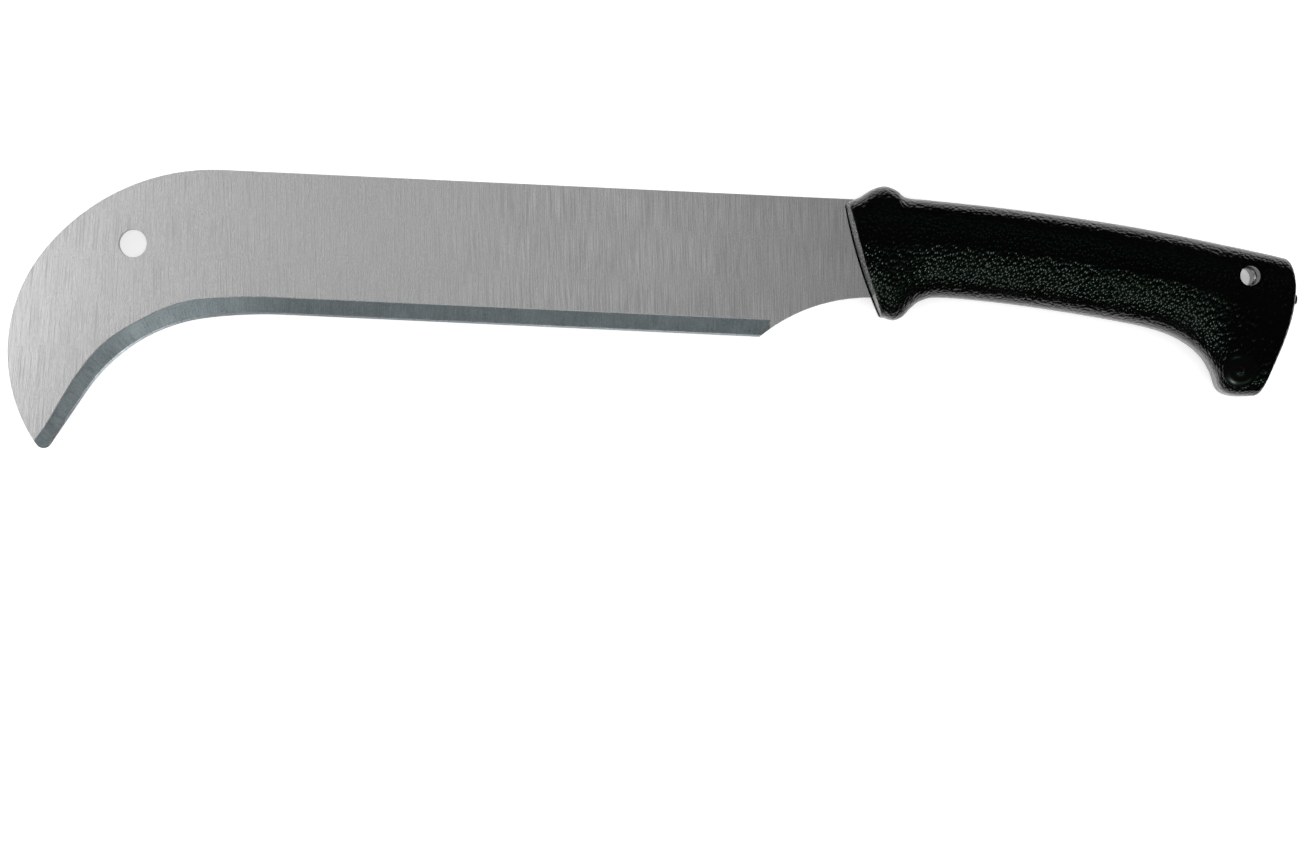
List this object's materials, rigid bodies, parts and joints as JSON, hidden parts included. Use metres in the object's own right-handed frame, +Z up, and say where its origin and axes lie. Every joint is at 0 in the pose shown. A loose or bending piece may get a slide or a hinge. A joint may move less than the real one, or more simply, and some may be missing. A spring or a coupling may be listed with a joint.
{
  "type": "machete",
  "caption": "Hooked steel machete blade with a ground inner bevel and a hanging hole, its tang held in a moulded black plastic handle with a guard, a hooked butt and a lanyard hole.",
  "frame": {"origin": "under the middle of the whole outline, on the plane that the handle rests on", "axes": "+X runs from the hook to the butt, +Y from the cutting edge to the spine, +Z up out of the face that is seen"},
  "size_m": [0.4625, 0.108, 0.026],
  "materials": {
    "blade_steel": "satin, ground across the blade",
    "handle_plastic": "moulded with a pebbled leather grain"
  },
  "bodies": {
    "root": {"blade": "blade_steel", "handle": "handle_plastic"}
  },
  "joints": []
}
